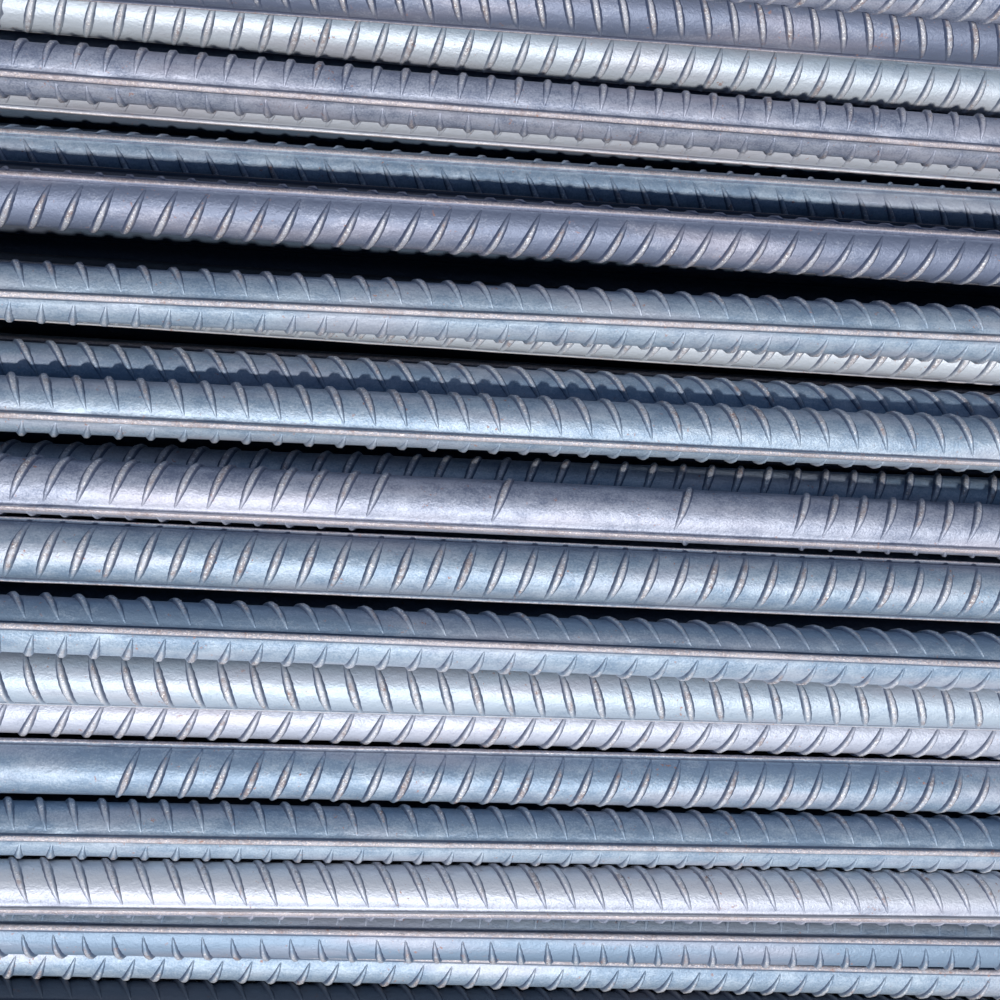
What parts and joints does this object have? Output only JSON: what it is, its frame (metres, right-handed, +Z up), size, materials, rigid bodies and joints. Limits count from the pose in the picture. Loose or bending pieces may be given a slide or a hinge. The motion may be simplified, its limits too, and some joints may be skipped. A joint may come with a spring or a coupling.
{
  "type": "stack of reinforcing bars",
  "caption": "Loose stack of straight ribbed steel reinforcing bars lying side by side in courses, stock lengths for cutting and laying in concrete.",
  "frame": {"origin": "middle of the stack's footprint, at floor level", "axes": "+X along the bars, +Y across the stack towards the side that is at the top of the picture, +Z up"},
  "size_m": [6, 0.5186, 0.1003],
  "materials": {
    "scale_blue": "hot-rolled mill scale, blue-grey, satin, with specks of rust",
    "scale_violet": "hot-rolled mill scale, violet-grey, satin, with specks of rust",
    "inner_bars": "hot-rolled mill scale, dark blue-grey"
  },
  "bodies": {
    "root": {"bar_floor_near": "scale_violet", "bar_19": "scale_blue", "bar_18": "scale_blue", "bar_floor_far": "scale_blue", "bar_16": "scale_blue", "bar_second_far": "scale_blue", "bar_15": "scale_violet", "bar_14": "scale_blue", "bar_13": "scale_blue", "bar_12": "scale_violet", "bar_3": "scale_blue", "bar_2_under": "scale_violet", "bar_1": "scale_blue", "bar_third_far": "scale_blue", "bar_11": "scale_blue", "bar_8_under": "scale_blue", "bar_6": "scale_blue", "bar_5_under": "scale_blue", "bar_4_under": "scale_blue", "bar_2": "scale_violet", "bar_0": "scale_violet", "bar_fourth_mid": "scale_blue", "bar_fourth_far": "scale_violet", "bar_10": "scale_blue", "bar_9": "scale_blue", "bar_8": "scale_violet", "bar_7": "scale_blue", "bar_5": "scale_blue", "bar_4": "scale_violet", "bar_top_mid": "scale_violet", "bar_top_far": "scale_blue", "course_floor": "inner_bars", "course_second": "inner_bars", "course_third": "inner_bars", "course_fourth": "inner_bars"}
  },
  "joints": []
}
